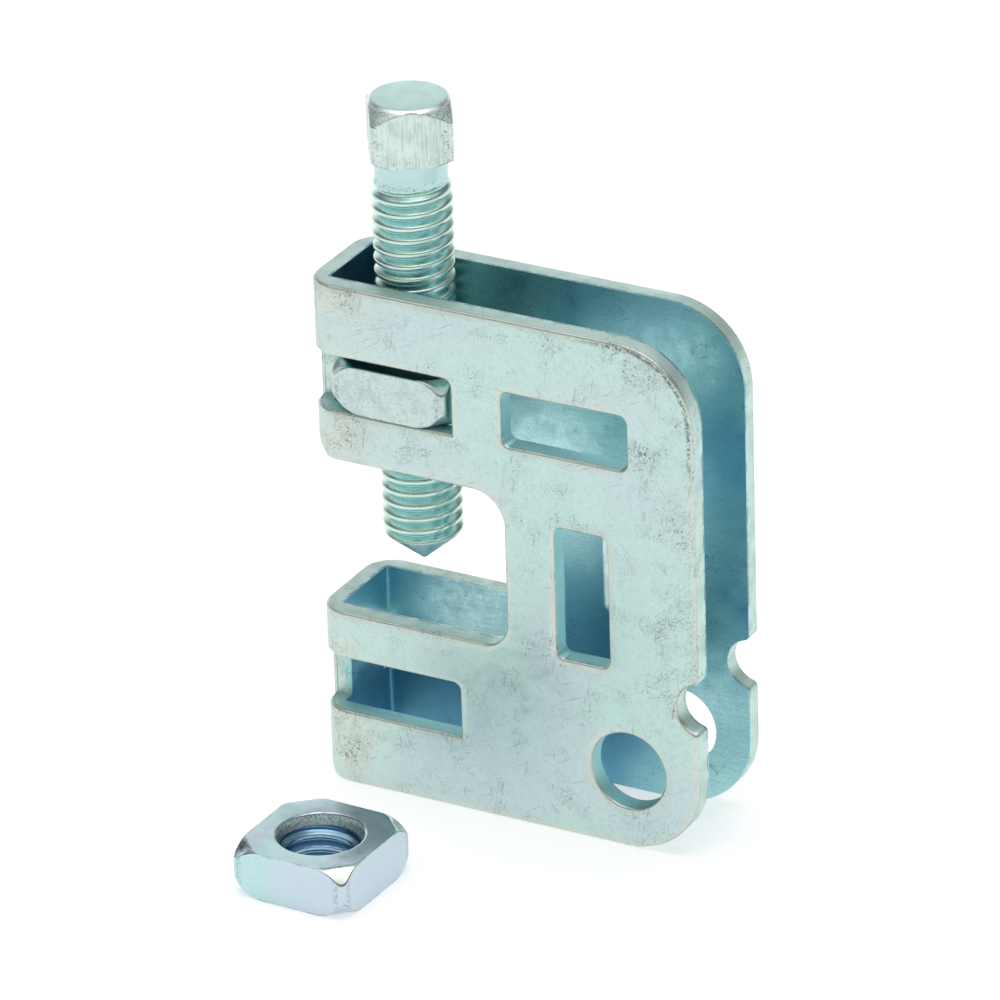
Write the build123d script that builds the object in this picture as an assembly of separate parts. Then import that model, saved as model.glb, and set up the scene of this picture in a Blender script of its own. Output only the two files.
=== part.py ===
from build123d import *
import os

# Beam clamp for a 3/8 in threaded rod: one folded sheet body, a square-head cone-point
# set screw, the square nut that the screw runs in, and the loose square nut for the rod.
# The mouth opens towards -X, the near flank faces -Y and the clamp stands on Z = 0.
# The origin is on the axis of the screw and the rod, level with the feet of the flanks.

# Sheet body
sheet_thickness = 2.4
body_width = 15.2
front_reach = 10.55
back_reach = 39.25
bend_inner_radius = 1.4
back_corner_radius = 9.5
outer_edge_bevel = 0.3

# Jaws and the mouth between them
lower_jaw_height = 22.0
mouth_height = 19.5
upper_jaw_height = 22.0
mouth_back = 14.8
mouth_upper_radius = 4.2
mouth_lower_radius = 3.1

# Nut windows, which run round the bends and leave a post in each fold strip
nut_window_height = 6.85
nut_window_back = 8.35
lower_window_base = 9.2
upper_window_rise = 6.3
post_width = 7.4
window_corner_radius = 1.0

# Windows in the spine: the long one level with the upper nut window, the tall one beside the mouth
long_window_start = 14.8
long_window_length = 16.0
long_window_height = 6.7
tall_window_start = 21.2
tall_window_length = 6.8
tall_window_rise = 0.3
tall_window_height = 16.5

# Cross hole and notch at the back
cross_hole_diameter = 9.5
cross_hole_x = 30.1
cross_hole_z = 9.7
notch_radius = 3.15
notch_depth = 2.8
notch_z = 19.45
notch_lip_radius = 0.6

# Rise of the fold strips' lower edges above the flanks' lower edges, along the bends
upper_strip_rise = 2.0
lower_strip_rise = 1.0
rise_start = 2.0
rise_run = 2.6

# Thread, 3/8 in with 16 turns to the inch: many-sided rings with sharp crests at its true
# pitch on the screw, and plain bores in the nuts that clear the crests
thread_diameter = 9.3
thread_pitch = 1.5875
thread_depth = 0.85
thread_sides = 24
thread_clearance = 0.07

# Set screw
screw_length = 50.8
screw_gap = 5.4
cone_depth = 3.7
cone_tip_flat = 0.3
collar_diameter = 8.4
collar_length = 2.5
head_width = 9.4
head_height = 7.1
head_corner_radius = 0.5
head_top_chamfer_diameter = 8.7
head_top_chamfer_slope = 0.84
head_base_chamfer_diameter = 10.4
head_base_chamfer_slope = 0.58
head_turn = 32.7

# Square nuts
nut_width = 15.1
nut_height = 6.0
nut_corner_radius = 1.1
nut_chamfer_diameter = 17.0
nut_chamfer_slope = 0.84
countersink_diameter = 10.2
countersink_depth = 1.4

# The loose nut beside the clamp
loose_nut_x = 2.2
loose_nut_y = -29.9
loose_nut_turn = -1.8

# Values that follow from the ones above
half_width = body_width / 2
bend_outer_radius = bend_inner_radius + sheet_thickness
body_length = front_reach + back_reach
mouth_top = lower_jaw_height + mouth_height
body_height = mouth_top + upper_jaw_height
upper_window_base = mouth_top + upper_window_rise
tall_window_base = lower_jaw_height + tall_window_rise
screw_tip_height = lower_jaw_height + screw_gap
margin = 1.0
tolerance = 0.01


def side_prism(sketch):
    """A side outline drawn in the XZ plane, carried across the whole width."""
    return extrude(Plane.XZ * sketch, amount=body_width, both=True)


def side_rectangle(low_x, high_x, low_z, high_z):
    """A rectangle given by its limits, for drawing in the XZ plane."""
    middle = Location(((low_x + high_x) / 2, (low_z + high_z) / 2))
    return middle * Rectangle(high_x - low_x, high_z - low_z)


def corners_near(sketch, x, z):
    """The corner of a side outline that lies nearest to the given place."""
    return sketch.vertices().sort_by_distance(Vector(x, z, 0))[:1]


def folded_channel():
    """The sheet folded into a U, as high as the clamp, before anything is cut."""
    outer = Rectangle(body_length, body_width)
    outer = fillet(outer.vertices().group_by(Axis.X)[0], bend_outer_radius)
    inner = Location((sheet_thickness, 0)) * Rectangle(body_length, body_width - 2 * sheet_thickness)
    inner = fillet(inner.vertices().group_by(Axis.X)[0], bend_inner_radius)
    middle = Location(((back_reach - front_reach) / 2, 0))
    return extrude(middle * (outer - inner), amount=body_height)


def side_outline():
    """The C shape of a flank seen from the side."""
    plate = side_rectangle(-front_reach, back_reach, 0, body_height)
    plate = fillet(plate.vertices().group_by(Axis.X)[-1], back_corner_radius)
    mouth = side_rectangle(-front_reach - margin, mouth_back, lower_jaw_height, mouth_top)
    mouth = fillet(corners_near(mouth, mouth_back, mouth_top), mouth_upper_radius)
    mouth = fillet(corners_near(mouth, mouth_back, lower_jaw_height), mouth_lower_radius)
    return back_notch(plate - mouth)


def spine_window(start, length, base, height):
    """A window with round corners through both flanks."""
    shape = side_rectangle(start, start + length, base, base + height)
    return side_prism(fillet(shape.vertices(), window_corner_radius))


def nut_window(base):
    """The slot for a nut: it runs round both bends and leaves the post between them."""
    shape = side_rectangle(-front_reach - margin, nut_window_back, base, base + nut_window_height)
    shape = fillet(corners_near(shape, nut_window_back, base + nut_window_height), window_corner_radius)
    post = Pos(-front_reach, 0, base + nut_window_height / 2) * Box(
        2 * (sheet_thickness + margin), post_width, nut_window_height + 2 * margin
    )
    return side_prism(shape) - post


def back_notch(plate):
    """A side outline with the round notch cut into its back edge and the lips of the notch rounded."""
    centre_x = back_reach - notch_depth + notch_radius
    plate = plate - Location((centre_x, notch_z)) * Circle(notch_radius)
    half_chord = (notch_radius**2 - (notch_radius - notch_depth) ** 2) ** 0.5
    for side in (-1, 1):
        plate = fillet(corners_near(plate, back_reach, notch_z + side * half_chord), notch_lip_radius)
    return plate


def cross_hole():
    """The round hole through both flanks near the foot."""
    return side_prism(Location((cross_hole_x, cross_hole_z)) * Circle(cross_hole_diameter / 2))


def strip_relief(base, rise):
    """What lifts the lower edge of a fold strip: a box under the strip and a sloping cut in each bend."""
    flat_half = half_width - bend_outer_radius
    cut = Pos(-front_reach, 0, base + (rise - margin) / 2) * Box(
        2 * bend_outer_radius, 2 * flat_half, rise + margin
    )
    slope = Polyline(
        (-rise_start, -margin),
        (-rise_start, 0),
        (rise_run - rise_start, rise),
        (2 * bend_outer_radius, rise),
        (2 * bend_outer_radius, -margin),
        close=True,
    )
    for side in (-1, 1):
        towards_strip = Vector(-1, -side, 0)
        plane = Plane(
            origin=(-front_reach + bend_outer_radius, side * flat_half, base),
            x_dir=towards_strip,
            z_dir=towards_strip.cross(Vector(0, 0, 1)),
        )
        cut = cut + extrude(plane * make_face(slope), amount=side * 2 * bend_outer_radius)
    return cut


def bevel_outer_edges(body):
    """The small bevel that the punch leaves along every edge of the two outer faces."""
    bend_line_x = -front_reach + bend_outer_radius
    outer_faces = [f for f in body.faces() if abs(abs(f.center().Y) - half_width) < tolerance]
    edges = [e for f in outer_faces for e in f.edges() if e.bounding_box().max.X > bend_line_x + tolerance]
    return chamfer(edges, outer_edge_bevel)


def clamp_body():
    """The whole folded body."""
    body = folded_channel() & side_prism(side_outline())
    body = body - nut_window(lower_window_base) - nut_window(upper_window_base)
    body = body - spine_window(long_window_start, long_window_length, upper_window_base, long_window_height)
    body = body - spine_window(tall_window_start, tall_window_length, tall_window_base, tall_window_height)
    body = body - cross_hole()
    body = body - strip_relief(0, lower_strip_rise) - strip_relief(mouth_top, upper_strip_rise)
    return bevel_outer_edges(body)


def chamfer_cone(level, diameter, slope, direction):
    """What a conical chamfer keeps: its circle has this diameter at this level, and it widens
    against the direction, +1 for a chamfer on top and -1 for one below."""
    edge_radius = diameter / 2
    widening = head_width + nut_width
    far_level = level - direction * slope * widening
    points = [
        (0, level),
        (edge_radius, level),
        (edge_radius + widening, far_level),
        (0, far_level),
    ]
    return revolve(Plane.XZ * make_face(Polyline(points, close=True)), Axis.Z)


def square_nut():
    """A square nut standing on Z = 0, chamfered at the corners of both faces, its countersink upwards."""
    plan = RectangleRounded(nut_width, nut_width, nut_corner_radius)
    nut = extrude(plan, amount=nut_height)
    nut = nut & chamfer_cone(nut_height, nut_chamfer_diameter, nut_chamfer_slope, 1)
    nut = nut & chamfer_cone(0, nut_chamfer_diameter, nut_chamfer_slope, -1)
    bore_radius = thread_diameter / 2 + thread_clearance
    hole_points = [
        (0, -margin),
        (bore_radius, -margin),
        (bore_radius, nut_height - countersink_depth),
        (countersink_diameter / 2, nut_height),
        (countersink_diameter / 2, nut_height + margin),
        (0, nut_height + margin),
    ]
    return nut - revolve(Plane.XZ * make_face(Polyline(hole_points, close=True)), Axis.Z)


def thread_sections():
    """The shank's sections on Z = 0: root and crest in turn, counted down from the collar, none of
    them outside the cone of the point. Many-sided ones keep the facets few."""
    crest_radius = thread_diameter / 2
    cone_slope = (crest_radius - cone_tip_flat) / cone_depth
    half_pitch = thread_pitch / 2
    thread_end = screw_length - collar_length
    sections = []
    for step in range(int(thread_end / half_pitch)):
        level = thread_end - step * half_pitch
        depth = thread_depth if step % 2 == 0 else 0
        radius = min(crest_radius - depth, cone_tip_flat + cone_slope * level)
        sections.append(Pos(0, 0, level) * RegularPolygon(radius, thread_sides))
    sections.append(RegularPolygon(cone_tip_flat, thread_sides))
    return sections


def set_screw():
    """The screw, from its cone point up to its square head."""
    head_base = screw_tip_height + screw_length
    head_top = head_base + head_height
    shank = Pos(0, 0, screw_tip_height) * loft(thread_sections(), ruled=True)
    collar = Pos(0, 0, head_base - collar_length) * Cylinder(
        collar_diameter / 2, collar_length + margin, align=(Align.CENTER, Align.CENTER, Align.MIN)
    )
    plan = RectangleRounded(head_width, head_width, head_corner_radius)
    head = extrude(Pos(0, 0, head_base) * plan, amount=head_height)
    head = head & chamfer_cone(head_top, head_top_chamfer_diameter, head_top_chamfer_slope, 1)
    head = head & chamfer_cone(head_base, head_base_chamfer_diameter, head_base_chamfer_slope, -1)
    return shank + collar + Rot(0, 0, head_turn) * head


parts = {
    "clamp_body": clamp_body(),
    "jaw_nut": Pos(0, 0, upper_window_base) * square_nut(),
    "rod_nut": Pos(loose_nut_x, loose_nut_y, 0) * Rot(0, 0, loose_nut_turn) * square_nut(),
    "set_screw": set_screw(),
}

os.makedirs("parts", exist_ok=True)
for name, part in parts.items():
    export_step(part, f"parts/{name}.step")
    print(name, "volume", round(part.volume, 1), "size", part.bounding_box().size)
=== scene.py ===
import math

import bmesh
import bpy
import numpy as np
from mathutils import Matrix, Vector


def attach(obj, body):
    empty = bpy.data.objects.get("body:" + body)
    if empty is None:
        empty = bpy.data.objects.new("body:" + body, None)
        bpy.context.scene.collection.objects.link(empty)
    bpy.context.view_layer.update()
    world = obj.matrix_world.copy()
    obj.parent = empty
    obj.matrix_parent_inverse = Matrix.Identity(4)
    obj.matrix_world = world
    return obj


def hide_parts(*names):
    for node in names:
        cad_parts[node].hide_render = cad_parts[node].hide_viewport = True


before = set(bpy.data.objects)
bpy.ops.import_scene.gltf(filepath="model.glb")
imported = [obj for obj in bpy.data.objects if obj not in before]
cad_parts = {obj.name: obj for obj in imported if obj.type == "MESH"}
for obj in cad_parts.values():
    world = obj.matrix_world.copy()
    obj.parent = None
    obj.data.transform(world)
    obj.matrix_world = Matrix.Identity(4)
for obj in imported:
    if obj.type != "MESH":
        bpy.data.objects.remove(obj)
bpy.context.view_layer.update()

mm = 0.001
reach = 100  # farther than any side of the object, in mm
softEdge = 0.05  # how softly specks and scratches end, as a share of their noise

# The thread of the screw and of both nuts, in mm; start is the height of a crest at angle 0
thread = {
    "pitch": 1.5875,
    "start": 28.084,
    "crestRadius": 4.65,
    "depth": 0.86,
    "crown": 0.05,
    "crestShare": 0.30,
    "rootShare": 0.10,
    "straightShare": 0.45,
    "rowsPerPitch": 18,
    "clearance": 0.08,
}


# A closed skin over a grid of points (rows, columns, 3): the columns run round and close, and
# each end row is closed with a fan to its middle, or, where ring is true, to the other end row.
# marks holds one value for each point of the grid, under the name that a material reads it by
def skin(name, grid, ring=False, **marks):
    rows, columns = grid.shape[:2]
    index = np.arange(rows * columns).reshape(rows, columns)
    if ring:
        index = np.vstack([index, index[:1]])
    here, above = index[:-1], index[1:]
    quads = np.stack([here, np.roll(here, -1, 1), np.roll(above, -1, 1), above], -1).reshape(-1, 4)
    points = grid.reshape(-1, 3)
    faces = quads.tolist()
    if not ring:
        points = np.vstack([points, grid[0].mean(0), grid[-1].mean(0)])
        foot, top = index[0], index[-1]
        faces += np.stack([np.roll(foot, -1), foot, np.full(columns, rows * columns)], -1).tolist()
        faces += np.stack([top, np.roll(top, -1), np.full(columns, rows * columns + 1)], -1).tolist()
    mesh = bpy.data.meshes.new(name)
    mesh.from_pydata((points * mm).tolist(), [], faces)
    mesh.polygons.foreach_set("use_smooth", np.ones(len(faces), bool))
    for title, values in marks.items():
        full = np.zeros(len(points))
        full[:rows * columns] = np.broadcast_to(values, (rows, columns)).reshape(-1)
        mesh.attributes.new(title, "FLOAT", "POINT").data.foreach_set("value", full)
    mesh.update()
    piece = bpy.data.objects.new(name, mesh)
    bpy.context.scene.collection.objects.link(piece)
    return piece


# A share from 0 to 1 that leaves and arrives level: 3 * share squared less 2 * share cubed
def smooth(share):
    return share**2 * (3 - 2 * share)


# Angles of the columns round a square piece, closer together where its corners are:
# angle = step + share * sin(4 * (step - turn)) / 4
def columnAngles(count, turn, share):
    steps = np.arange(count) * 2 * np.pi / count
    return steps + share * np.sin(4 * (steps - turn)) / 4


# How far each angle is from the middle of the nearest side of a square
def fromSide(angle, turn):
    return np.abs((angle - turn + np.pi / 4) % (np.pi / 2) - np.pi / 4)


# Distance from the axis to the side of a square with round corners, at each angle: half the width
# over the cosine on a flat, and the far crossing with the corner's circle near 45 degrees
def squareRadius(angle, turn, half, corner):
    folded = fromSide(angle, turn)
    offset = (half - corner) * math.sqrt(2)
    past = np.pi / 4 - folded
    inside = np.maximum(corner**2 - (offset * np.sin(past)) ** 2, 0)
    onCorner = folded > math.atan2(half - corner, half)
    return np.where(onCorner, offset * np.cos(past) + np.sqrt(inside), half / np.cos(folded))


# Distance from the axis to the thread's surface: it is highest where the height is the start height
# plus one pitch for each turn, and falls along straight flanks with round feet to the root
def threadRadius(height, angle, start):
    phase = (height - start) / thread["pitch"] - angle / (2 * np.pi)
    away = 2 * np.abs(phase - np.round(phase))
    fall = np.clip((away - thread["crestShare"]) / (1 - thread["crestShare"] - thread["rootShare"]), 0, 1)
    fall = thread["straightShare"] * fall + (1 - thread["straightShare"]) * smooth(fall)
    onCrest = thread["crown"] * (away / thread["crestShare"]) ** 2
    onFlank = thread["crown"] + (thread["depth"] - thread["crown"]) * fall
    return thread["crestRadius"] - np.where(away < thread["crestShare"], onCrest, onFlank)


# Rows of a profile whose corners are rounded: each corner becomes a short parabola between the
# points that lie one edge width before and after it. points is a list of (radius, height), each one
# number or one for each column. A row is (radius, height, ridge), and ridge is 1 in a corner's middle
def roundedRows(points, columns, edge, steps=5):
    corners = [np.stack([np.broadcast_to(v, columns).astype(float) for v in point]) for point in points]
    flat = np.zeros((1, columns))
    rows = [np.vstack([corners[0], flat])]
    for before, corner, after in zip(corners, corners[1:], corners[2:]):
        back, ahead = before - corner, after - corner
        backLength = np.maximum(np.hypot(*back), 1e-6)
        aheadLength = np.maximum(np.hypot(*ahead), 1e-6)
        first = corner + back * np.minimum(edge / backLength, 0.45)  # never past the middle of a side
        last = corner + ahead * np.minimum(edge / aheadLength, 0.45)
        for t in np.linspace(0, 1, steps):
            place = (1 - t) ** 2 * first + 2 * t * (1 - t) * corner + t**2 * last
            rows.append(np.vstack([place, flat + 4 * t * (1 - t)]))
    rows.append(np.vstack([corners[-1], flat]))
    return rows


# Points from rows and the columns' angles: x = radius * cos, y = radius * sin, z = height
def turned(rows, angles):
    radius, height = rows[:, 0], rows[:, 1]
    return np.stack([radius * np.cos(angles), radius * np.sin(angles), height], -1)


# Adds a node with its fixed inputs set by name or number, and links given as sockets
def add(tree, kind, inputs=None, **settings):
    node = tree.nodes.new(kind)
    for key, value in settings.items():
        setattr(node, key, value)
    for key, value in (inputs or {}).items():
        if isinstance(value, bpy.types.NodeSocket):
            tree.links.new(value, node.inputs[key])
        else:
            node.inputs[key].default_value = value
    return node


# Numbers or sockets joined by one operation, from the first to the last
def joined(tree, operation, result, *others):
    for other in others:
        result = add(tree, "ShaderNodeMath", {0: result, 1: other}, operation=operation).outputs[0]
    return result


def product(tree, *values):
    return joined(tree, "MULTIPLY", *values)


def total(tree, *values):
    return joined(tree, "ADD", *values)


def largest(tree, *values):
    return joined(tree, "MAXIMUM", *values)


def smallest(tree, *values):
    return joined(tree, "MINIMUM", *values)


def less(tree, first, second):
    return joined(tree, "SUBTRACT", first, second)


# One operation on two directions or places; a length or a dot product comes out as a number
def vectors(tree, operation, first, second=(0, 0, 0)):
    node = add(tree, "ShaderNodeVectorMath", {0: first, 1: second}, operation=operation)
    return node.outputs["Value" if operation in ("LENGTH", "DOT_PRODUCT") else "Vector"]


# The parts of a place along x, y and z
def axes(tree, place):
    return list(add(tree, "ShaderNodeSeparateXYZ", {0: place}).outputs)


# A soft step of a value between two limits, from one number to another
def step(tree, value, low, high, start=0.0, end=1.0):
    inputs = {"Value": value, "From Min": low, "From Max": high, "To Min": start, "To Max": end}
    return add(tree, "ShaderNodeMapRange", inputs, interpolation_type="SMOOTHSTEP").outputs["Result"]


# A soft step down, from one to nothing
def fade(tree, value, low, high):
    return step(tree, value, low, high, 1.0, 0.0)


# The share of a region that rises and falls in soft steps along x and upwards. Each step is given by
# its two limits, or is None where the region has no end on that side
def region(tree, x, up, share, xRise, xFall, upRise, upFall):
    for value, rise, fall in ((x, xRise, xFall), (up, upRise, upFall)):
        if rise:
            share = product(tree, share, step(tree, value, *rise))
        if fall:
            share = product(tree, share, fade(tree, value, *fall))
    return share


# One colour over another by a share; each is three numbers or a socket
def tint(tree, share, under, over):
    pair = [value if isinstance(value, bpy.types.NodeSocket) else (*value, 1) for value in (under, over)]
    node = add(tree, "ShaderNodeMix", {0: share, 6: pair[0], 7: pair[1]}, data_type="RGBA")
    return node.outputs[2]


# Layers of colour laid over one another. A layer is the pattern that it follows, the pattern's two
# limits, the layer's share below and above them, and its colour's name
def layered(tree, color, piece, patterns, layers):
    for pattern, low, high, below, above, over in layers:
        color = tint(tree, step(tree, patterns[pattern], low, high, below, above), color, piece[over])
    return color


# Noise between 0 and 1 with this many repeats to the mm
def noise(tree, place, scale, detail, rough):
    inputs = {"Vector": place, "Scale": scale, "Detail": detail, "Roughness": rough}
    return add(tree, "ShaderNodeTexNoise", inputs).outputs["Fac"]


# The value that a piece's mesh holds at each point under this name
def mark(tree, name):
    return add(tree, "ShaderNodeAttribute", attribute_name=name).outputs["Fac"]


# Object coordinates in mm, turned and then stretched for one pattern
def inMillimetres(tree, stretch=(1, 1, 1), turn=(0, 0, 0)):
    place = add(tree, "ShaderNodeTexCoord").outputs["Object"]
    inputs = {"Vector": place, "Scale": tuple(mm / v for v in stretch), "Rotation": turn}
    return add(tree, "ShaderNodeMapping", inputs, vector_type="TEXTURE").outputs["Vector"]


# Small ragged specks: the peaks of a fine noise, more of them where the weight is high
def speckle(tree, place, scale, limit, weight):
    fine = noise(tree, place, scale, 3.0, 0.8)
    return step(tree, total(tree, fine, weight), limit, limit + softEdge)


# Thin straight lines: a noise drawn out along one direction and cut off near its top
def scratches(tree, turn, stretch, limit, patch):
    lines = noise(tree, inMillimetres(tree, stretch, turn), 1.0, 1.0, 0.4)
    return product(tree, step(tree, lines, limit, limit + softEdge), patch)


# Distance outside a round-cornered box seen from the side: the length of what sticks out past the
# box without its corner radius, less that radius
def outsideBox(tree, place, low, high, radius):
    middle = ((low[0] + high[0]) / 2, 0, (low[1] + high[1]) / 2)
    half = ((high[0] - low[0]) / 2 - radius, reach, (high[1] - low[1]) / 2 - radius)
    past = vectors(tree, "ABSOLUTE", vectors(tree, "SUBTRACT", place, middle))
    past = vectors(tree, "MAXIMUM", vectors(tree, "SUBTRACT", past, half))
    return less(tree, vectors(tree, "LENGTH", past), radius)


# Distance inside a round-cornered box, in the plane of two of the axes: the radius less what sticks
# out past the box without it, or plus the distance to that smaller box from within
def insideBox(tree, place, middle, half, radius):
    past = vectors(tree, "ABSOLUTE", vectors(tree, "SUBTRACT", place, middle))
    past = vectors(tree, "SUBTRACT", past, half)
    corner = vectors(tree, "LENGTH", vectors(tree, "MAXIMUM", past))
    flat = smallest(tree, largest(tree, *axes(tree, past)), 0.0)
    return less(tree, radius, total(tree, corner, flat))


# A new metal with its node tree and its shader
def emptyMetal(name):
    material = bpy.data.materials.new(name)
    material.use_nodes = True
    tree = material.node_tree
    shader = tree.nodes["Principled BSDF"]
    shader.inputs["Metallic"].default_value = 1.0
    return material, tree, shader


# Gives a metal its colour, its roughness and a relief in mm
def finishMetal(tree, shader, color, rough, relief):
    bump = add(tree, "ShaderNodeBump", {"Strength": 1.0, "Distance": mm, "Height": relief})
    for name, socket in (("Base Color", color), ("Roughness", rough), ("Normal", bump.outputs[0])):
        tree.links.new(socket, shader.inputs[name])


# The set screw in mm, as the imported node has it, then its finish: colours, noises (scale for each mm,
# detail and roughness), layers, and the limits and shares of its marks
screw = {
    "columns": 120,
    "crowding": 0.7,
    "tip": 27.4,
    "tipRadius": 0.3,
    "smallestRadius": 0.15,
    "coneDepth": 3.7,
    "coneBlend": 0.08,
    "collarRadius": 4.2,
    "threadFull": 73.3,
    "threadNone": 76.0,
    "headBase": 78.2,
    "headTop": 85.3,
    "headHalfWidth": 4.7,
    "headCorner": 0.5,
    "headTurn": 32.7,
    "topCircle": 4.35,
    "topSlope": 0.84,
    "topRings": (0.8, 0.01),
    "baseCircle": 5.2,
    "baseSlope": 0.58,
    "sliver": 0.02,
    "edge": 0.22,
    "aqua": (0.57, 0.79, 0.76),
    "green": (0.54, 0.78, 0.69),
    "valleyShadeAqua": (0.40, 0.66, 0.68),
    "collar": (0.49, 0.68, 0.68),
    "straw": (0.60, 0.56, 0.40),
    "silver": (0.65, 0.775, 0.735),
    "dull": (0.60, 0.73, 0.69),
    "pit": (0.20, 0.28, 0.30),
    # white is a painted highlight on the head's chamfer
    "white": (0.90, 0.95, 0.94),
    "dark": (0.10, 0.11, 0.12),
    "mottle": (0.6, 3.0, 0.6),
    "grain": (3.5, 3.0, 0.7),
    "threadLayers": [
        ("mottle", 0.42, 0.6, 0.0, 1.0, "green"),
        ("valley", 0.3, 0.95, 0.0, 0.85, "valleyShadeAqua"),
    ],
    "cheekLayers": [("mottle", 0.4, 0.65, 0.0, 1.0, "dull")],
    "headStart": (78.0, 78.3),
    "topStart": (85.2, 85.28),
    "plainStart": (73.9, 76.0),
    "chamferDepth": (-0.25, -0.08),
    "chamferRing": (4.38, 4.5),
    "highlightRing": (4.66, 4.84),
    "crestBandRise": (0.03, 0.12),
    "crestBandFall": (0.12, 0.3),
    "crestBandShare": 0.7,
    "pitClump": 0.6,
    "pitLimits": (0.44, 0.62),
    "pitShare": 0.5,
    "footMarks": (78.2, 80.4),
    "cornerMarks": (5.2, 6.0),
    "seamRise": (74.6, 75.2),
    "seamFall": (75.6, 76.4),
    "markWeight": 0.09,
    "markLoss": 0.03,
    "markScale": 3.6,
    "markLimit": 0.63,
    "markShare": 0.7,
    "hairStretch": (7.0, 7.0, 0.35),
    "hairLimit": 0.52,
    "hairPatch": (0.3, 0.5),
    "hairShare": 0.2,
    "rough": (0.3, 0.7, 0.22, 0.36),
    "headRough": 0.08,
    "grainDepth": 0.008,
    "forgedDepth": 0.12,
}


# The set screw: the smaller of the cone and the thread at each height, then the collar and the head
def setScrew():
    turn = math.radians(screw["headTurn"])
    angles = columnAngles(screw["columns"], turn, screw["crowding"])
    count = round((screw["headBase"] - screw["tip"]) / thread["pitch"] * thread["rowsPerPitch"])
    height = np.linspace(screw["tip"], screw["headBase"], count)[:, None]
    formed = (screw["threadNone"] - height) / (screw["threadNone"] - screw["threadFull"])
    formed = smooth(np.clip(formed, 0, 1))
    rolled = threadRadius(height, angles, thread["start"])
    rolled = screw["collarRadius"] + (rolled - screw["collarRadius"]) * formed
    rise = (thread["crestRadius"] - screw["tipRadius"]) / screw["coneDepth"]
    cone = screw["tipRadius"] + (height - screw["tip"]) * rise
    gap = rolled - cone
    radius = cone + 0.5 * (gap - np.sqrt(gap**2 + screw["coneBlend"] ** 2))
    radius = np.maximum(radius, screw["smallestRadius"])
    shank = np.stack([radius, np.broadcast_to(height, radius.shape)], 1)
    side = squareRadius(angles, turn, screw["headHalfWidth"], screw["headCorner"])
    topRing = np.minimum(side, screw["topCircle"])
    baseRise = screw["baseSlope"] * np.maximum(side - screw["baseCircle"], 0)
    head = roundedRows([
        (screw["collarRadius"], screw["headBase"]),
        (np.minimum(side, screw["baseCircle"]) - screw["sliver"], screw["headBase"]),
        (side, screw["headBase"] + baseRise + screw["sliver"]),
        (side, screw["headTop"] - screw["topSlope"] * (side - topRing)),
        (topRing, screw["headTop"]),
        *[(ring, screw["headTop"]) for ring in screw["topRings"]],
    ], screw["columns"], screw["edge"])
    rows = np.concatenate([shank, np.stack(head[1:])[:, :2]])
    valley = (thread["crestRadius"] - rows[:, 0]) / thread["depth"] * (rows[:, 1] < screw["threadFull"])
    return skin("screw", turned(rows, angles), valley=np.clip(valley, 0, 1))


# Plated screw: green-blue thread, drawn darker and bluer in its valleys as painted shade, with a scuffed
# head. The head's chamfer is pitted at the corners and has a painted highlight in a ring below the top
def screwFinish():
    material, tree, shader = emptyMetal("platedScrew")
    place = inMillimetres(tree)
    height = axes(tree, place)[2]
    radius = vectors(tree, "LENGTH", vectors(tree, "MULTIPLY", place, (1, 1, 0)))
    valley = mark(tree, "valley")
    mottle = noise(tree, place, *screw["mottle"])
    grain = noise(tree, place, *screw["grain"])
    patterns = {"valley": valley, "mottle": mottle}
    head = step(tree, height, *screw["headStart"])
    top = step(tree, height, *screw["topStart"])
    cheek = product(tree, head, less(tree, 1.0, top))
    pastCone = total(tree, height, product(tree, radius, screw["topSlope"]))
    pastCone = less(tree, pastCone, screw["headTop"] + screw["topSlope"] * screw["topCircle"])
    chamfer = product(
        tree, step(tree, pastCone, *screw["chamferDepth"]), step(tree, radius, *screw["chamferRing"]),
    )
    # Painted highlight: a white ring on the chamfer just below the top circle
    paintedShine = product(tree, chamfer, fade(tree, radius, *screw["highlightRing"]))
    forged = less(tree, chamfer, paintedShine)

    # The valley layer is painted shade: the thread is drawn darker and bluer towards its roots
    color = layered(tree, screw["aqua"], screw, patterns, screw["threadLayers"])
    # A straw tint in a narrow band just off each crest
    crestBand = product(tree, step(tree, valley, *screw["crestBandRise"]), fade(tree, valley, *screw["crestBandFall"]))
    color = tint(tree, product(tree, crestBand, screw["crestBandShare"]), color, screw["straw"])
    color = tint(tree, step(tree, height, *screw["plainStart"]), color, screw["collar"])
    color = tint(tree, top, color, screw["aqua"])
    cheekColor = layered(tree, screw["silver"], screw, patterns, screw["cheekLayers"])
    color = tint(tree, cheek, color, cheekColor)
    pitted = total(tree, grain, product(tree, less(tree, mottle, 0.5), screw["pitClump"]))
    pitted = product(tree, step(tree, pitted, *screw["pitLimits"]), forged, screw["pitShare"])
    color = tint(tree, pitted, color, screw["pit"])
    color = tint(tree, paintedShine, color, screw["white"])

    # marks at the head's foot and upright corners, and where the thread runs out
    ends = largest(tree, fade(tree, height, *screw["footMarks"]), step(tree, radius, *screw["cornerMarks"]))
    seam = product(tree, step(tree, height, *screw["seamRise"]), fade(tree, height, *screw["seamFall"]))
    weight = product(tree, largest(tree, product(tree, cheek, ends), seam), screw["markWeight"])
    weight = less(tree, weight, screw["markLoss"])
    marks = speckle(tree, place, screw["markScale"], screw["markLimit"], weight)
    hairPatch = product(tree, cheek, step(tree, mottle, *screw["hairPatch"]))
    hairs = scratches(tree, (0, 0, 0), screw["hairStretch"], screw["hairLimit"], hairPatch)
    darkening = largest(tree, product(tree, marks, screw["markShare"]), product(tree, hairs, screw["hairShare"]))
    color = tint(tree, darkening, color, screw["dark"])

    rough = total(tree, step(tree, mottle, *screw["rough"]), product(tree, head, screw["headRough"]))
    depth = total(tree, screw["grainDepth"], product(tree, forged, screw["forgedDepth"]))
    finishMetal(tree, shader, color, rough, product(tree, grain, depth))
    return material


print("screw")
screwPiece = setScrew()
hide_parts("set_screw")
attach(screwPiece, "screw")
screwPiece.data.materials.append(screwFinish())

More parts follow.
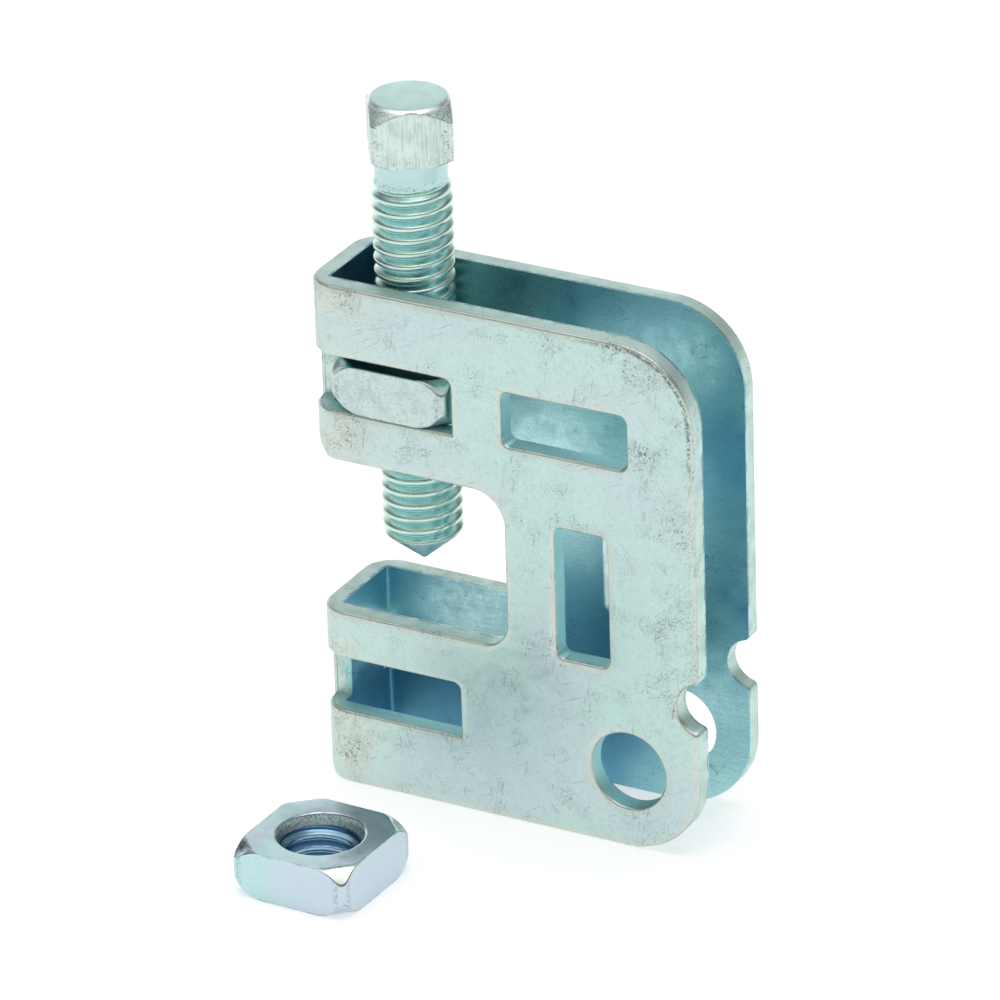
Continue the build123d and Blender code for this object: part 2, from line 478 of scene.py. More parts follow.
# Both nuts in mm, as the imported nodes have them, apart from the curve of their chamfers, and their
# finish in the same order as the screw's. The held nut is the one in the upper jaw
nut = {
    "heldBase": 47.8,
    "loosePlace": (2.2, -29.9, 0.0),
    "looseTurn": -1.8,
    "looseThreadTurn": 140.0,
    "columns": 144,
    "crowding": 0.5,
    "halfWidth": 7.55,
    "height": 6.0,
    "corner": 1.1,
    "topCircle": 8.45,
    "topCurve": 0.48,
    "topMiddle": 0.4,
    "footCircle": 8.4,
    "footCurve": 0.6,
    "footMiddle": 0.3,
    "footFlat": 1.0,
    "boreRadius": 4.02,
    "boreStart": 0.8,
    "countersinkRadius": 5.1,
    "countersinkFoot": 4.73,
    "countersinkDepth": 1.4,
    "countersinkEnd": (0.1, 0.7),
    "footChamfer": 0.35,
    "sliver": 0.02,
    "edge": 0.28,
    "markMargin": 0.05,
    "chamferRise": 0.2,
    "chamferRows": (19, 28),  # the rows of the outside that form the top chamfer
    "countersinkRows": 4,
    "cornerLineWidth": 0.018,
    "aqua": (0.495, 0.70, 0.72),
    "lilac": (0.55, 0.66, 0.735),
    "silver": (0.55, 0.67, 0.65),
    "grey": (0.36, 0.45, 0.47),
    # deep is painted shade in the bore
    "deep": (0.10, 0.26, 0.42),
    "shade": (0.07, 0.16, 0.19),
    # bright is a painted highlight on the top chamfers towards the right
    "chamferHighlight": (0.86, 0.92, 0.84),
    "pale": (0.78, 0.90, 0.86),
    "dark": (0.12, 0.14, 0.15),
    "cloud": (0.12, 2.0, 0.5),
    "mottle": (0.7, 3.0, 0.6),
    "grain": (3.5, 2.0, 0.65),
    "heldStart": (20.0, 30.0),
    "lean": 0.03,
    "leanEnd": (5.5, 5.9),
    "lilacLimits": (0.42, 0.6),
    "heldGrey": (0.45, 0.65, 0.0, 0.3),
    "greyLimits": (0.5, 0.75),
    "greyShares": (0.15, 0.7),
    "shadeStart": (53.55, 53.75),
    "chamferHighlightStart": (0.0, 2.0),
    "fleckEnd": (-4.0, -2.0),
    "fleckLimits": (0.5, 0.6),
    "fleckShare": 0.6,
    "ridgeLimits": (0.6, 1.0),
    "burrLimits": (0.46, 0.56),
    "cornerLimits": (0.4, 0.56),
    "markScale": 2.5,
    "markLimit": 0.66,
    "markWeight": 0.03,
    "markShare": 0.45,
    "rough": (0.3, 0.7, 0.16, 0.26),
    "heldRough": 0.12,
    "sinkRough": 0.2,
    "grainDepth": 0.004,
    "waveDepth": 0.15,
}


# Distance from the axis to the wall of a nut's hole: the largest of the thread's cut, the plain
# bore, the countersink above and the small chamfer at the foot
def holeRadius(height, angles, base, start):
    wide, narrow = nut["countersinkRadius"], nut["countersinkFoot"]
    depth = base + nut["height"] - height
    cut = threadRadius(height, angles, start) + thread["clearance"]
    sink = wide + (narrow - wide) * depth / nut["countersinkDepth"]
    sink = np.where(depth > nut["countersinkDepth"], narrow - (depth - nut["countersinkDepth"]), sink)
    mouth = narrow - (height - base) * (narrow - nut["boreRadius"]) / nut["footChamfer"]
    return np.maximum(np.maximum(cut, nut["boreRadius"]), np.maximum(sink, mouth))


# What the finish reads at each point of a nut: the middles of its rounded edges, the two lines beside
# each upright corner, how deep in the thread it is, the countersink and the top chamfers
def nutMarks(rows, angles, side, topRing, top, boreRow):
    radius, height = rows[:, 0], rows[:, 1]
    inBore = np.zeros_like(radius)
    first = boreRow + nut["countersinkRows"]
    inBore[first:] = 0.5 + 0.5 * np.clip((radius[first:] - nut["boreRadius"]) / thread["depth"], 0, 1)
    margin = nut["markMargin"]
    sink = (radius < nut["countersinkRadius"] - margin) & (height < top - margin)
    sink &= height > top - nut["countersinkDepth"]
    chamfer = np.zeros_like(radius)
    chamfer[slice(*nut["chamferRows"])] = np.clip((side - topRing - margin) / nut["chamferRise"], 0, 1)
    arcStart = math.atan2(nut["halfWidth"] - nut["corner"], nut["halfWidth"])
    cornerLine = np.exp(-((fromSide(angles, 0.0) - arcStart) / nut["cornerLineWidth"]) ** 2)
    cornerLine = cornerLine * (radius > side - 2 * margin)
    return {
        "ridge": rows[:, 2],
        "cornerLine": cornerLine,
        "inBore": inBore,
        "sink": sink,
        "chamfer": chamfer,
    }


# A square nut standing on a height: out along the foot, up the side between its curved chamfers, in
# across the top, and down the countersink and the threaded bore. A chamfer falls by its curve value
# times the squared distance past its circle
def squareNut(name, base, start, threadTurn):
    angles = columnAngles(nut["columns"], 0.0, nut["crowding"])
    top = base + nut["height"]
    side = squareRadius(angles, 0.0, nut["halfWidth"], nut["corner"])
    topRing = np.minimum(side, nut["topCircle"])
    footRing = np.minimum(side, nut["footCircle"])
    drop = nut["topCurve"] * (side - topRing) ** 2
    rise = nut["footCurve"] * (side - footRing) ** 2
    sliver = nut["sliver"]
    pastFoot, sinkShare = nut["countersinkEnd"]
    outside = roundedRows([
        (nut["countersinkFoot"] + nut["footFlat"], base),
        (footRing, base),
        ((footRing + side) / 2, base + rise * nut["footMiddle"] + sliver / 2),
        (side, base + rise + sliver),
        (side, top - drop - sliver),
        ((topRing + side) / 2, top - drop * nut["topMiddle"] - sliver / 2),
        (topRing, top),
        (nut["countersinkRadius"], top),
        (nut["countersinkFoot"] + pastFoot, top - nut["countersinkDepth"] * sinkShare),
    ], nut["columns"], nut["edge"])
    count = round(nut["height"] / thread["pitch"] * thread["rowsPerPitch"])
    height = np.linspace(top - nut["countersinkDepth"] * nut["boreStart"], base + sliver, count)[:, None]
    radius = holeRadius(height, angles + threadTurn, base, start)
    bore = np.stack([radius, np.broadcast_to(height, radius.shape), np.zeros_like(radius)], 1)
    rows = np.concatenate([np.stack(outside), bore])
    marks = nutMarks(rows, angles, side, topRing, top, len(outside))
    return skin(name, turned(rows, angles), ring=True, **marks)


# Plated nut: bright and smooth, aqua to lilac, with a thin dark burr along its ridges, a painted highlight
# on the top chamfers towards the right and painted shade in its bore. The held nut is duller, with worn
# sides and painted shade on its top
def nutFinish():
    material, tree, shader = emptyMetal("platedNut")
    place = inMillimetres(tree)
    x, height = axes(tree, place)[::2]
    cloud, mottle, grain = (noise(tree, place, *nut[name]) for name in ("cloud", "mottle", "grain"))
    chamfer, sink = mark(tree, "chamfer"), mark(tree, "sink")
    held = step(tree, height, *nut["heldStart"])
    lean = product(tree, x, nut["lean"], fade(tree, height, *nut["leanEnd"]))
    lilac = step(tree, total(tree, cloud, lean), *nut["lilacLimits"])
    color = tint(tree, lilac, nut["aqua"], nut["lilac"])
    color = tint(tree, held, color, nut["silver"])
    color = tint(tree, product(tree, held, step(tree, mottle, *nut["heldGrey"])), color, nut["grey"])
    looseShare, heldShare = nut["greyShares"]
    greyShare = total(tree, looseShare, product(tree, held, heldShare))
    color = tint(tree, product(tree, step(tree, grain, *nut["greyLimits"]), greyShare), color, nut["grey"])
    shaded = product(tree, held, step(tree, height, *nut["shadeStart"]))
    color = tint(tree, shaded, color, nut["shade"])
    # Painted highlight on the top chamfers towards the right
    color = tint(tree, product(tree, chamfer, step(tree, x, *nut["chamferHighlightStart"])), color, nut["chamferHighlight"])
    color = tint(tree, sink, color, nut["pale"])
    flecked = product(tree, chamfer, fade(tree, x, *nut["fleckEnd"]), less(tree, 1.0, held))
    flecks = product(
        tree, largest(tree, flecked, sink), step(tree, grain, *nut["fleckLimits"]), nut["fleckShare"],
    )
    color = tint(tree, flecks, color, nut["dark"])
    # Painted shade in the bore, darkest towards the thread's roots
    color = tint(tree, mark(tree, "inBore"), color, nut["deep"])
    ridges = product(
        tree, step(tree, mark(tree, "ridge"), *nut["ridgeLimits"]), step(tree, mottle, *nut["burrLimits"]),
    )
    cornerLines = product(tree, mark(tree, "cornerLine"), step(tree, grain, *nut["cornerLimits"]))
    weight = product(tree, held, nut["markWeight"])
    marks = speckle(tree, place, nut["markScale"], nut["markLimit"], weight)
    darkening = product(tree, largest(tree, ridges, cornerLines, marks), nut["markShare"])
    color = tint(tree, darkening, color, nut["dark"])
    rough = total(
        tree, step(tree, mottle, *nut["rough"]), product(tree, held, nut["heldRough"]),
        product(tree, sink, nut["sinkRough"]),
    )
    relief = total(tree, product(tree, grain, nut["grainDepth"]), product(tree, cloud, nut["waveDepth"]))
    finishMetal(tree, shader, color, rough, relief)
    return material


print("nuts")
nutMetal = nutFinish()
jawNutPiece = squareNut("jawNut", nut["heldBase"], thread["start"], 0.0)
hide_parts("jaw_nut")
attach(jawNutPiece, "root")
jawNutPiece.data.materials.append(nutMetal)

looseNutPiece = squareNut("rodNut", 0.0, 0.0, math.radians(nut["looseThreadTurn"]))
looseTurn = Matrix.Rotation(math.radians(nut["looseTurn"]), 4, "Z")
loosePlace = Matrix.Translation([value * mm for value in nut["loosePlace"]])
looseNutPiece.data.transform(loosePlace @ looseTurn)
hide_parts("rod_nut")
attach(looseNutPiece, "root")
looseNutPiece.data.materials.append(nutMetal)

# The folded body: its outline and openings in mm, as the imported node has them, each opening as its low
# corner, high corner and corner radius. Then its finish, where a region of the inner faces is its
# share and its limits along x and upwards, and a scratch is its turn, length, width and limit, and
# the pattern and limits of the patches that hold it
sheet = {
    "front": -10.55,
    "back": 39.25,
    "height": 63.5,
    "halfWidth": 7.6,
    "backCorner": 9.5,
    "bend": 3.8,
    "innerBend": 1.4,
    "innerCorner": 0.4,
    "wall": 2.4,
    "mouth": ((-60, 22), (14.8, 41.5), 3.6),
    "notch": ((36.45, 16.3), (42.75, 22.6), 3.149),
    "openings": [
        ((-8.5, 9.2), (8.35, 16.05), 1.0),
        ((-8.5, 47.8), (8.35, 54.65), 1.0),
        ((14.8, 47.8), (30.8, 54.5), 1.0),
        ((21.2, 22.3), (28.0, 38.8), 1.0),
        ((25.35, 4.95), (34.85, 14.45), 4.749),
    ],
    "farSide": 5,
    "farNudges": [
        ((-12, 15.6), (9, 16.5), (0, -0.15)),
        ((20.8, 21.9), (22.3, 39.2), (-0.6, 0)),
    ],
    "innerSide": 5.6,
    "bendEnd": 0.01,
    "bendSkin": 0.03,
    "pointCrowding": 1.5,
    "weld": 0.002,
    "sharpAngle": 50,
    "innerAngle": 25,
    "aqua": (0.55, 0.745, 0.705),
    "lilac": (0.575, 0.705, 0.71),
    "pale": (0.66, 0.77, 0.75),
    "straw": (0.69, 0.71, 0.61),
    "grey": (0.40, 0.50, 0.50),
    "dark": (0.08, 0.10, 0.10),
    "cut": (0.62, 0.78, 0.74),
    "cutDark": (0.54, 0.72, 0.69),
    # window is painted shade: the bluer, darker colour of the walls inside the openings
    "openingWallShade": (0.44, 0.76, 0.78),
    # The inner faces' teal and deep are painted shade, and their two mist colours are painted light; deep
    # also colours streaks
    "innerShadeTeal": (0.32, 0.64, 0.66),
    "blue": (0.24, 0.54, 0.68),
    "paintedLightMist": (0.54, 0.83, 0.83),
    "paintedLightJawMist": (0.70, 0.98, 0.98),
    "deep": (0.12, 0.34, 0.50),
    "dust": (0.75, 0.85, 0.85),
    "cloud": (0.08, 2.0, 0.5),
    "mottle": (0.5, 4.0, 0.6),
    "grain": (3.5, 2.0, 0.65),
    "patch": (0.22, 3.0, 0.55),
    "streakStretch": (0.3, 5.0, 5.0),
    "streaks": (1.0, 2.0, 0.6),
    "faceLayers": [
        ("cloud", 0.4, 0.6, 0.0, 1.0, "lilac"),
        ("mottle", 0.5, 0.72, 0.0, 0.4, "pale"),
        ("mottle", 0.28, 0.46, 0.3, 0.0, "grey"),
    ],
    "wearLayers": [("grain", 0.45, 0.75, 0.0, 0.35, "grey")],
    "cutLayers": [
        ("mottle", 0.4, 0.65, 0.0, 1.0, "cutDark"),
        ("opening", 0.1, 0.4, 1.0, 0.0, "openingWallShade"),
        ("grain", 0.5, 0.8, 0.0, 0.3, "grey"),
    ],
    "hollowLayers": [("cloud", 0.4, 0.6, 0.0, 1.0, "blue")],
    "streakLayers": [
        ("streaks", 0.42, 0.66, 0.0, 0.2, "deep"),
        ("grain", 0.45, 0.8, 0.0, 0.4, "deep"),
    ],
    "dustLayers": [("grain", 0.76, 0.8, 0.0, 0.5, "dust")],
    "faceDepth": (0.35, 0.5),
    "cavityDepth": (-0.2, -0.05),
    "burrDepth": (-0.35, -0.22),
    "openingRim": (0.1, 0.4),
    "nearBend": (-6.0, 1.0),
    "nearBack": (26.0, 35.0),
    "bendWarmth": (0.4, 0.6, 0.08, 0.65),
    "rimRaggedness": 1.6,
    "rimWarmth": (-0.8, 0.4, 0.6, 0.0),
    "bendScuffs": 0.045,
    "backScuffs": 0.07,
    "scuffMiddle": 0.5,
    "smudgeScuffs": (0.5, 0.7),
    "smudgeGrain": (0.35, 0.6),
    "smudgeShare": 0.4,
    "speckWeight": 0.5,
    "speckScale": 3.2,
    "speckLimit": 0.67,
    "speckShare": 0.65,
    "scratches": [
        (0.15, 5.0, 0.4, 0.67, "scuffed", (0.5, 0.6)),
        (1.1, 6.0, 0.3, 0.7, "cloud", (0.42, 0.5)),
        (-0.7, 6.0, 0.25, 0.7, "mottle", (0.45, 0.55)),
    ],
    "scratchShare": 0.28,
    "rimDarkRise": (0.25, 0.4),
    "rimDarkFall": (0.55, 0.95),
    "rimDarkRegion": (0.7, (22.0, 30.0), None, (47.0, 53.0), None),
    "rimDarkGrain": (0.38, 0.55),
    "burrGrain": 0.5,
    "burrLimits": (0.64, 0.8),
    "burrShare": 0.7,
    "cutSpeckShare": 0.4,
    "levelRaggedness": 6.0,
    "bandSlope": 0.35,
    "bandFoot": (27.0, 36.0),
    "bandTop": (49.0, 55.0),
    "bandFront": (17.0, 25.0, 1.0, 0.5),
    "bandBack": (28.0, 38.0),
    "openBack": (1.0, (22.0, 34.0), None, None, (16.0, 24.0)),
    "upperBack": (0.5, (17.0, 26.0), (32.0, 38.0), (52.0, 57.0), None),
    "lowerJaw": (1.0, (-8.0, 5.0), (13.0, 16.0), (14.0, 20.0), (26.0, 30.0)),
    "besideMouth": (0.6, (12.0, 15.0), (21.0, 26.0), None, (23.0, 33.0)),
    "lowerFront": (0.74, None, (8.0, 16.0), None, (12.0, 16.0)),
    "upperFront": (0.74, None, (-7.0, 1.0), (42.0, 46.0), None),
    "innerSpeckWeight": 0.6,
    "innerSpeckScale": 1.8,
    "innerSpeckLimit": 0.66,
    "innerSpeckShare": 0.35,
    "rough": (0.3, 0.7, 0.36, 0.5),
    "darkeningRough": 0.15,
    "cutRough": 0.12,
    "grainDepth": 0.012,
    "rollDepth": 0.09,
    "waveDepth": 0.5,
}


# The inside of each bend is drawn tighter: its points close up towards the bend's middle line and move
# out to a square corner with a small radius. Some punched edges of the far flank lie a little off
def bodyPlaces(places):
    centreX = sheet["front"] + sheet["bend"]
    for side in (-1, 1):
        centre = np.array([centreX, side * (sheet["halfWidth"] - sheet["bend"])])
        away = places[:, :2] - centre
        inBend = (away[:, 0] < sheet["bendEnd"]) & (away[:, 1] * side > -sheet["bendEnd"])
        inBend &= np.abs(np.hypot(away[:, 0], away[:, 1]) - sheet["innerBend"]) < sheet["bendSkin"]
        past = np.arctan2(away[:, 1] * side, -away[:, 0]) / (np.pi / 4) - 1
        angle = (1 + np.sign(past) * np.abs(past) ** sheet["pointCrowding"]) * np.pi / 4
        radius = squareRadius(angle, 0.0, sheet["innerBend"], sheet["innerCorner"])
        moved = centre + np.stack([-np.cos(angle), side * np.sin(angle)], -1) * radius[:, None]
        places[inBend, :2] = moved[inBend]
    for low, high, shift in sheet["farNudges"]:
        inside = np.all((places[:, ::2] > low) & (places[:, ::2] < high), 1)
        inside &= places[:, 1] > sheet["farSide"]
        places[inside, ::2] += shift
    return places


# The folded body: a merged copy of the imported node, shaded smooth over its outer bends and small
# bevels, so that each punched edge turns over softly, with crisp edges inside
def sheetBody():
    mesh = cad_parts["clamp_body"].data.copy()
    mesh.name = "foldedBody"
    piece = bpy.data.objects.new("foldedBody", mesh)
    bpy.context.scene.collection.objects.link(piece)
    places = np.empty(len(mesh.vertices) * 3, np.float32)
    mesh.vertices.foreach_get("co", places)
    places = bodyPlaces(places.astype(float).reshape(-1, 3) / mm) * mm
    mesh.vertices.foreach_set("co", places.reshape(-1).astype(np.float32))
    shape = bmesh.new()
    shape.from_mesh(mesh)
    bmesh.ops.remove_doubles(shape, verts=shape.verts, dist=sheet["weld"] * mm)
    for edge in shape.edges:
        inside = all(abs(vert.co.y) < sheet["innerSide"] * mm for vert in edge.verts)
        limit = math.radians(sheet["innerAngle"] if inside else sheet["sharpAngle"])
        edge.smooth = len(edge.link_faces) == 2 and edge.calc_face_angle(0) < limit
    for face in shape.faces:
        face.smooth = True
    shape.to_mesh(mesh)
    shape.free()
    even = piece.modifiers.new("evenShading", "WEIGHTED_NORMAL")
    even.keep_sharp = True
    even.weight = 100
    return piece


# What the sheet's colours follow: its noises, and distances in mm from the outline (rim), from the
# openings (opening), from the nearer of the two (edge) and into the cavity from its walls (cavity).
# outer and inner are the shares of the outer faces and of the cavity's walls
def sheetPatterns(tree):
    place = inMillimetres(tree)
    x, z = axes(tree, place)[::2]
    halfHeight, corner = sheet["height"] / 2, sheet["backCorner"]
    outline = insideBox(
        tree, place, (sheet["back"] - reach, 0, halfHeight),
        (reach - corner, reach, halfHeight - corner), corner,
    )
    rim = smallest(tree, outline, *[outsideBox(tree, place, *sheet[name]) for name in ("mouth", "notch")])
    opening = smallest(tree, *[outsideBox(tree, place, *box) for box in sheet["openings"]])
    middle = (sheet["front"] + reach, 0, 0)
    bend, past = sheet["bend"], sheet["wall"] + sheet["innerCorner"]
    depth = insideBox(tree, place, middle, (reach - bend, sheet["halfWidth"] - bend, reach), bend)
    cavity = insideBox(
        tree, place, middle, (reach - past, sheet["halfWidth"] - past, reach), sheet["innerCorner"],
    )
    patterns = {name: noise(tree, place, *sheet[name]) for name in ("cloud", "mottle", "grain", "patch")}
    streaks = noise(tree, inMillimetres(tree, sheet["streakStretch"]), *sheet["streaks"])
    return patterns | {
        "place": place,
        "x": x,
        "z": z,
        "rim": rim,
        "opening": opening,
        "edge": smallest(tree, rim, opening),
        "cavity": cavity,
        "streaks": streaks,
        "outer": fade(tree, depth, *sheet["faceDepth"]),
        "inner": step(tree, cavity, *sheet["cavityDepth"]),
    }


# The share of scuffs at each place: they gather near the bends and the back edge
def scuffs(tree, patterns):
    return total(
        tree, patterns["patch"],
        product(tree, fade(tree, patterns["x"], *sheet["nearBend"]), sheet["bendScuffs"]),
        product(tree, step(tree, patterns["x"], *sheet["nearBack"]), sheet["backScuffs"]),
    )


# Specks, scratches in three directions, and painted shade along the upper back rim: a broken dark line
# drawn as a dark reflection in the rolled edge
def faceDirtAndRimShade(tree, patterns):
    lines = []
    for turn, length, width, limit, holder, holderLimits in sheet["scratches"]:
        patch = step(tree, patterns[holder], *holderLimits)
        lines.append(scratches(tree, (0, turn, 0), (length, 1, width), limit, patch))
    # Painted shade: a broken dark line just inside the upper back rim, drawn as a dark reflection in its
    # rolled edge
    paintedRimShade = product(
        tree, step(tree, patterns["rim"], *sheet["rimDarkRise"]),
        fade(tree, patterns["rim"], *sheet["rimDarkFall"]),
        region(tree, patterns["x"], patterns["z"], *sheet["rimDarkRegion"]),
        step(tree, patterns["grain"], *sheet["rimDarkGrain"]),
    )
    return largest(
        tree, product(tree, patterns["specks"], sheet["speckShare"]),
        product(tree, largest(tree, *lines), sheet["scratchShare"]), paintedRimShade,
    )


# The outer faces: aqua to lilac, warmer near the bends and along the punched edges, then smudged
def outerFace(tree, patterns):
    face = layered(tree, sheet["aqua"], sheet, patterns, sheet["faceLayers"])
    nearBend = fade(tree, patterns["x"], *sheet["nearBend"])
    ragged = less(tree, patterns["edge"], product(tree, patterns["mottle"], sheet["rimRaggedness"]))
    warm = largest(
        tree, product(tree, nearBend, step(tree, patterns["patch"], *sheet["bendWarmth"])),
        step(tree, ragged, *sheet["rimWarmth"]),
    )
    face = tint(tree, warm, face, sheet["straw"])
    face = layered(tree, face, sheet, patterns, sheet["wearLayers"])
    smudge = product(
        tree, step(tree, patterns["scuffed"], *sheet["smudgeScuffs"]),
        step(tree, patterns["grain"], *sheet["smudgeGrain"]), sheet["smudgeShare"],
    )
    return tint(tree, smudge, face, sheet["grey"])


# The punched edges: bluer inside the openings, where that colour is painted shade, with a broken dark burr
# along the cavity
def cutEdge(tree, patterns):
    cut = layered(tree, sheet["cut"], sheet, patterns, sheet["cutLayers"])
    ragged = total(tree, patterns["mottle"], product(tree, patterns["grain"], sheet["burrGrain"]))
    burr = product(
        tree, step(tree, patterns["cavity"], *sheet["burrDepth"]), step(tree, ragged, *sheet["burrLimits"]),
        step(tree, patterns["opening"], *sheet["openingRim"]), sheet["burrShare"],
    )
    specks = product(tree, patterns["specks"], sheet["cutSpeckShare"])
    return tint(tree, largest(tree, specks, burr), cut, sheet["dark"])


# The inner faces: teal to blue, and darker than the outer faces as painted shade; paler in a band behind
# the windows, at the back and in the lower jaw, as painted light; and darker beside the mouth and between
# the closed fronts, as painted shade
def innerFace(tree, patterns):
    x, z = patterns["x"], patterns["z"]
    level = total(tree, z, product(tree, patterns["mottle"], sheet["levelRaggedness"]))
    sloping = less(tree, level, product(tree, x, sheet["bandSlope"]))
    band = product(
        tree, step(tree, level, *sheet["bandFoot"]), fade(tree, sloping, *sheet["bandTop"]),
        step(tree, x, *sheet["bandFront"]), fade(tree, x, *sheet["bandBack"]),
    )
    openBack = region(tree, x, level, *sheet["openBack"])
    upperBack = region(tree, x, z, *sheet["upperBack"])
    besideMouth = region(tree, x, level, *sheet["besideMouth"])
    lowerFront = region(tree, x, level, *sheet["lowerFront"])
    upperFront = region(tree, x, z, *sheet["upperFront"])
    # Painted shade: the inner faces start from a teal darker than the outer faces
    hollow = layered(tree, sheet["innerShadeTeal"], sheet, patterns, sheet["hollowLayers"])
    # Painted light where the windows and the open back let light in
    hollow = tint(tree, largest(tree, band, openBack, upperBack), hollow, sheet["paintedLightMist"])
    # Painted light in the lower jaw, below the mouth
    hollow = tint(tree, region(tree, x, level, *sheet["lowerJaw"]), hollow, sheet["paintedLightJawMist"])
    # Painted shade beside the mouth and between the closed fronts
    hollow = tint(tree, largest(tree, besideMouth, lowerFront, upperFront), hollow, sheet["deep"])
    hollow = layered(tree, hollow, sheet, patterns, sheet["streakLayers"])
    weight = product(tree, less(tree, patterns["patch"], sheet["scuffMiddle"]), sheet["innerSpeckWeight"])
    specks = speckle(tree, patterns["place"], sheet["innerSpeckScale"], sheet["innerSpeckLimit"], weight)
    hollow = tint(tree, product(tree, specks, sheet["innerSpeckShare"]), hollow, sheet["dark"])
    return layered(tree, hollow, sheet, patterns, sheet["dustLayers"])


# Plated sheet: satin outer faces, scuffed and specked, plain cut edges, and deep inner faces drawn with
# painted shade and painted light
def plateFinish():
    material, tree, shader = emptyMetal("platedSheet")
    patterns = sheetPatterns(tree)
    mottle, outer, inner = patterns["mottle"], patterns["outer"], patterns["inner"]
    patterns["scuffed"] = scuffs(tree, patterns)
    weight = product(tree, less(tree, patterns["scuffed"], sheet["scuffMiddle"]), sheet["speckWeight"])
    patterns["specks"] = speckle(tree, patterns["place"], sheet["speckScale"], sheet["speckLimit"], weight)
    # Specks and scratches, with the painted shade along the upper back rim
    darkening = faceDirtAndRimShade(tree, patterns)
    face = tint(tree, darkening, outerFace(tree, patterns), sheet["dark"])
    color = tint(tree, outer, cutEdge(tree, patterns), face)
    color = tint(tree, inner, color, innerFace(tree, patterns))
    plainCut = less(tree, 1.0, largest(tree, outer, inner))
    rough = total(
        tree, step(tree, mottle, *sheet["rough"]), product(tree, darkening, sheet["darkeningRough"]),
        product(tree, plainCut, sheet["cutRough"]),
    )
    rolled = product(tree, step(tree, patterns["edge"], 0.0, 1.0), outer, sheet["rollDepth"])
    relief = total(
        tree, product(tree, patterns["grain"], sheet["grainDepth"]), rolled,
        product(tree, patterns["cloud"], sheet["waveDepth"]),
    )
    finishMetal(tree, shader, color, rough, relief)
    return material


print("folded body")
bodyPiece = sheetBody()
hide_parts("clamp_body")
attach(bodyPiece, "root")
bodyPiece.data.materials.clear()
bodyPiece.data.materials.append(plateFinish())

# The floor and the room round the object: levels of light, and where each begins and is full. The
# room is bright near the horizon, at the back wall and overhead, and dark between them
studio = {
    "floorReach": 3.0,
    "floorColor": (0.9, 0.9, 0.9, 1),
    "floorGlow": 0.45,
    "dark": 0.18,
    "horizonLevel": 0.7,
    "horizonEnd": (0.06, 0.3),
    "backWall": (-0.49, 0.87, 0.0),
    "backStart": (0.74, 0.88),
    "backLevel": 0.8,
    "ceilingStart": (0.66, 0.88),
    "ceilingLevel": 0.95,
    "lampPlace": (0.1, -0.1, 1.0),
    "lampAim": (0.01, 0.0, 0.03),
    "lampSize": (0.7, 0.5),
    "lampPower": 1.4,
}
white = (1, 1, 1, 1)


# The floor is a plain pale one for light that falls on it, and glows white for the camera and in
# reflections, so that only the object's shadow shows
def studioFloor():
    far = studio["floorReach"]
    mesh = bpy.data.meshes.new("floor")
    mesh.from_pydata([(-far, -far, 0), (far, -far, 0), (far, far, 0), (-far, far, 0)], [], [(0, 1, 2, 3)])
    floor = bpy.data.objects.new("floor", mesh)
    bpy.context.scene.collection.objects.link(floor)
    material = bpy.data.materials.new("floor")
    material.use_nodes = True
    tree = material.node_tree
    tree.nodes.clear()
    lit = add(tree, "ShaderNodeBsdfDiffuse", {"Color": studio["floorColor"]})
    glow = add(tree, "ShaderNodeEmission", {"Color": white, "Strength": studio["floorGlow"]})
    both = add(tree, "ShaderNodeAddShader", {0: lit.outputs[0], 1: glow.outputs[0]})
    path = add(tree, "ShaderNodeLightPath")
    shown = largest(tree, path.outputs["Is Camera Ray"], path.outputs["Is Glossy Ray"])
    seen = add(tree, "ShaderNodeMixShader", {0: shown, 1: lit.outputs[0], 2: both.outputs[0]})
    add(tree, "ShaderNodeOutputMaterial", {"Surface": seen.outputs[0]})
    mesh.materials.append(material)
    return floor


# The camera sees the room all white
def studioRoom():
    world = bpy.data.worlds.new("studio")
    world.use_nodes = True
    tree = world.node_tree
    tree.nodes.clear()
    towards = add(tree, "ShaderNodeTexCoord").outputs["Generated"]
    upward = axes(tree, towards)[2]
    backward = vectors(tree, "DOT_PRODUCT", towards, studio["backWall"])
    dark = studio["dark"]
    level = total(
        tree, step(tree, upward, *studio["horizonEnd"], dark + studio["horizonLevel"], dark),
        product(tree, step(tree, backward, *studio["backStart"]), studio["backLevel"]),
        step(tree, upward, *studio["ceilingStart"], 0.0, studio["ceilingLevel"]),
    )
    path = add(tree, "ShaderNodeLightPath")
    soft = add(tree, "ShaderNodeBackground", {"Color": white, "Strength": level})
    plain = add(tree, "ShaderNodeBackground", {"Color": white, "Strength": 1.0})
    rays = {0: path.outputs["Is Camera Ray"], 1: soft.outputs[0], 2: plain.outputs[0]}
    seen = add(tree, "ShaderNodeMixShader", rays)
    add(tree, "ShaderNodeOutputWorld", {"Surface": seen.outputs[0]})
    return world


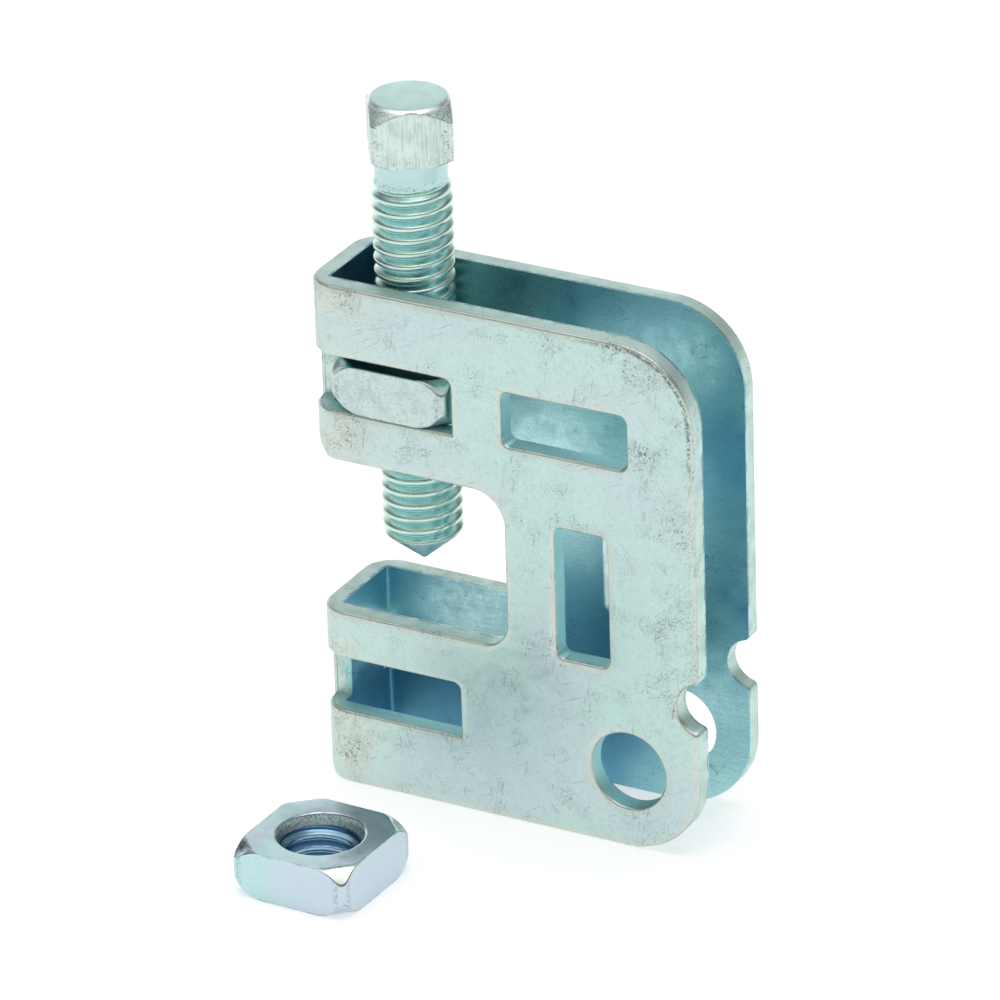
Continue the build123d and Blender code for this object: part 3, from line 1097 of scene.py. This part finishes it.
# A soft box overhead that shines towards a point on the object
def overheadLamp():
    light = bpy.data.lights.new("overheadLight", "AREA")
    light.shape = "RECTANGLE"
    light.size, light.size_y = studio["lampSize"]
    light.energy = studio["lampPower"]
    lamp = bpy.data.objects.new("overheadLight", light)
    lamp.location = studio["lampPlace"]
    towards = Vector(studio["lampAim"]) - Vector(studio["lampPlace"])
    lamp.rotation_euler = towards.to_track_quat("-Z", "Y").to_euler()
    bpy.context.scene.collection.objects.link(lamp)


print("studio")
floor = studioFloor()
bpy.context.scene.world = studioRoom()
bpy.context.scene.view_settings.view_transform = "Standard"
overheadLamp()

# The camera as the photo has it: where it looks, from what side and how far in degrees and mm, and
# its lens
view = {
    "target": (13.5, 0.0, 31.0),
    "shiftRight": -2.884,
    "shiftUp": 5.812,
    "azimuth": 29.236,
    "elevation": 26.026,
    "roll": -1.753,
    "distance": 1000.0,
    "focalPixels": 8724.0,
    "framePixels": 1000.0,
    "sensorWidth": 36.0,
    "clip": (0.05, 20),
}


# The camera's frame: right is level, ahead dips by the elevation, and both turn by the roll
def photoCamera():
    azimuth, elevation, roll = (math.radians(view[key]) for key in ("azimuth", "elevation", "roll"))
    level = math.cos(elevation)
    right = Vector((math.cos(azimuth), math.sin(azimuth), 0))
    ahead = Vector((-math.sin(azimuth) * level, math.cos(azimuth) * level, -math.sin(elevation)))
    up = right.cross(ahead)
    target = (Vector(view["target"]) + right * view["shiftRight"] + up * view["shiftUp"]) * mm
    sideways = right * math.cos(roll) + up * math.sin(roll)
    upwards = up * math.cos(roll) - right * math.sin(roll)
    lens = bpy.data.cameras.new("camera")
    lens.sensor_fit = "HORIZONTAL"
    lens.sensor_width = view["sensorWidth"]
    lens.lens = view["focalPixels"] / view["framePixels"] * lens.sensor_width
    lens.clip_start, lens.clip_end = view["clip"]
    camera = bpy.data.objects.new("camera", lens)
    bpy.context.scene.collection.objects.link(camera)
    place = Matrix.Translation(target - ahead * view["distance"] * mm)
    camera.matrix_world = place @ Matrix((sideways, upwards, -ahead)).transposed().to_4x4()
    return camera


print("camera")
bpy.context.scene.camera = photoCamera()
bpy.context.view_layer.update()
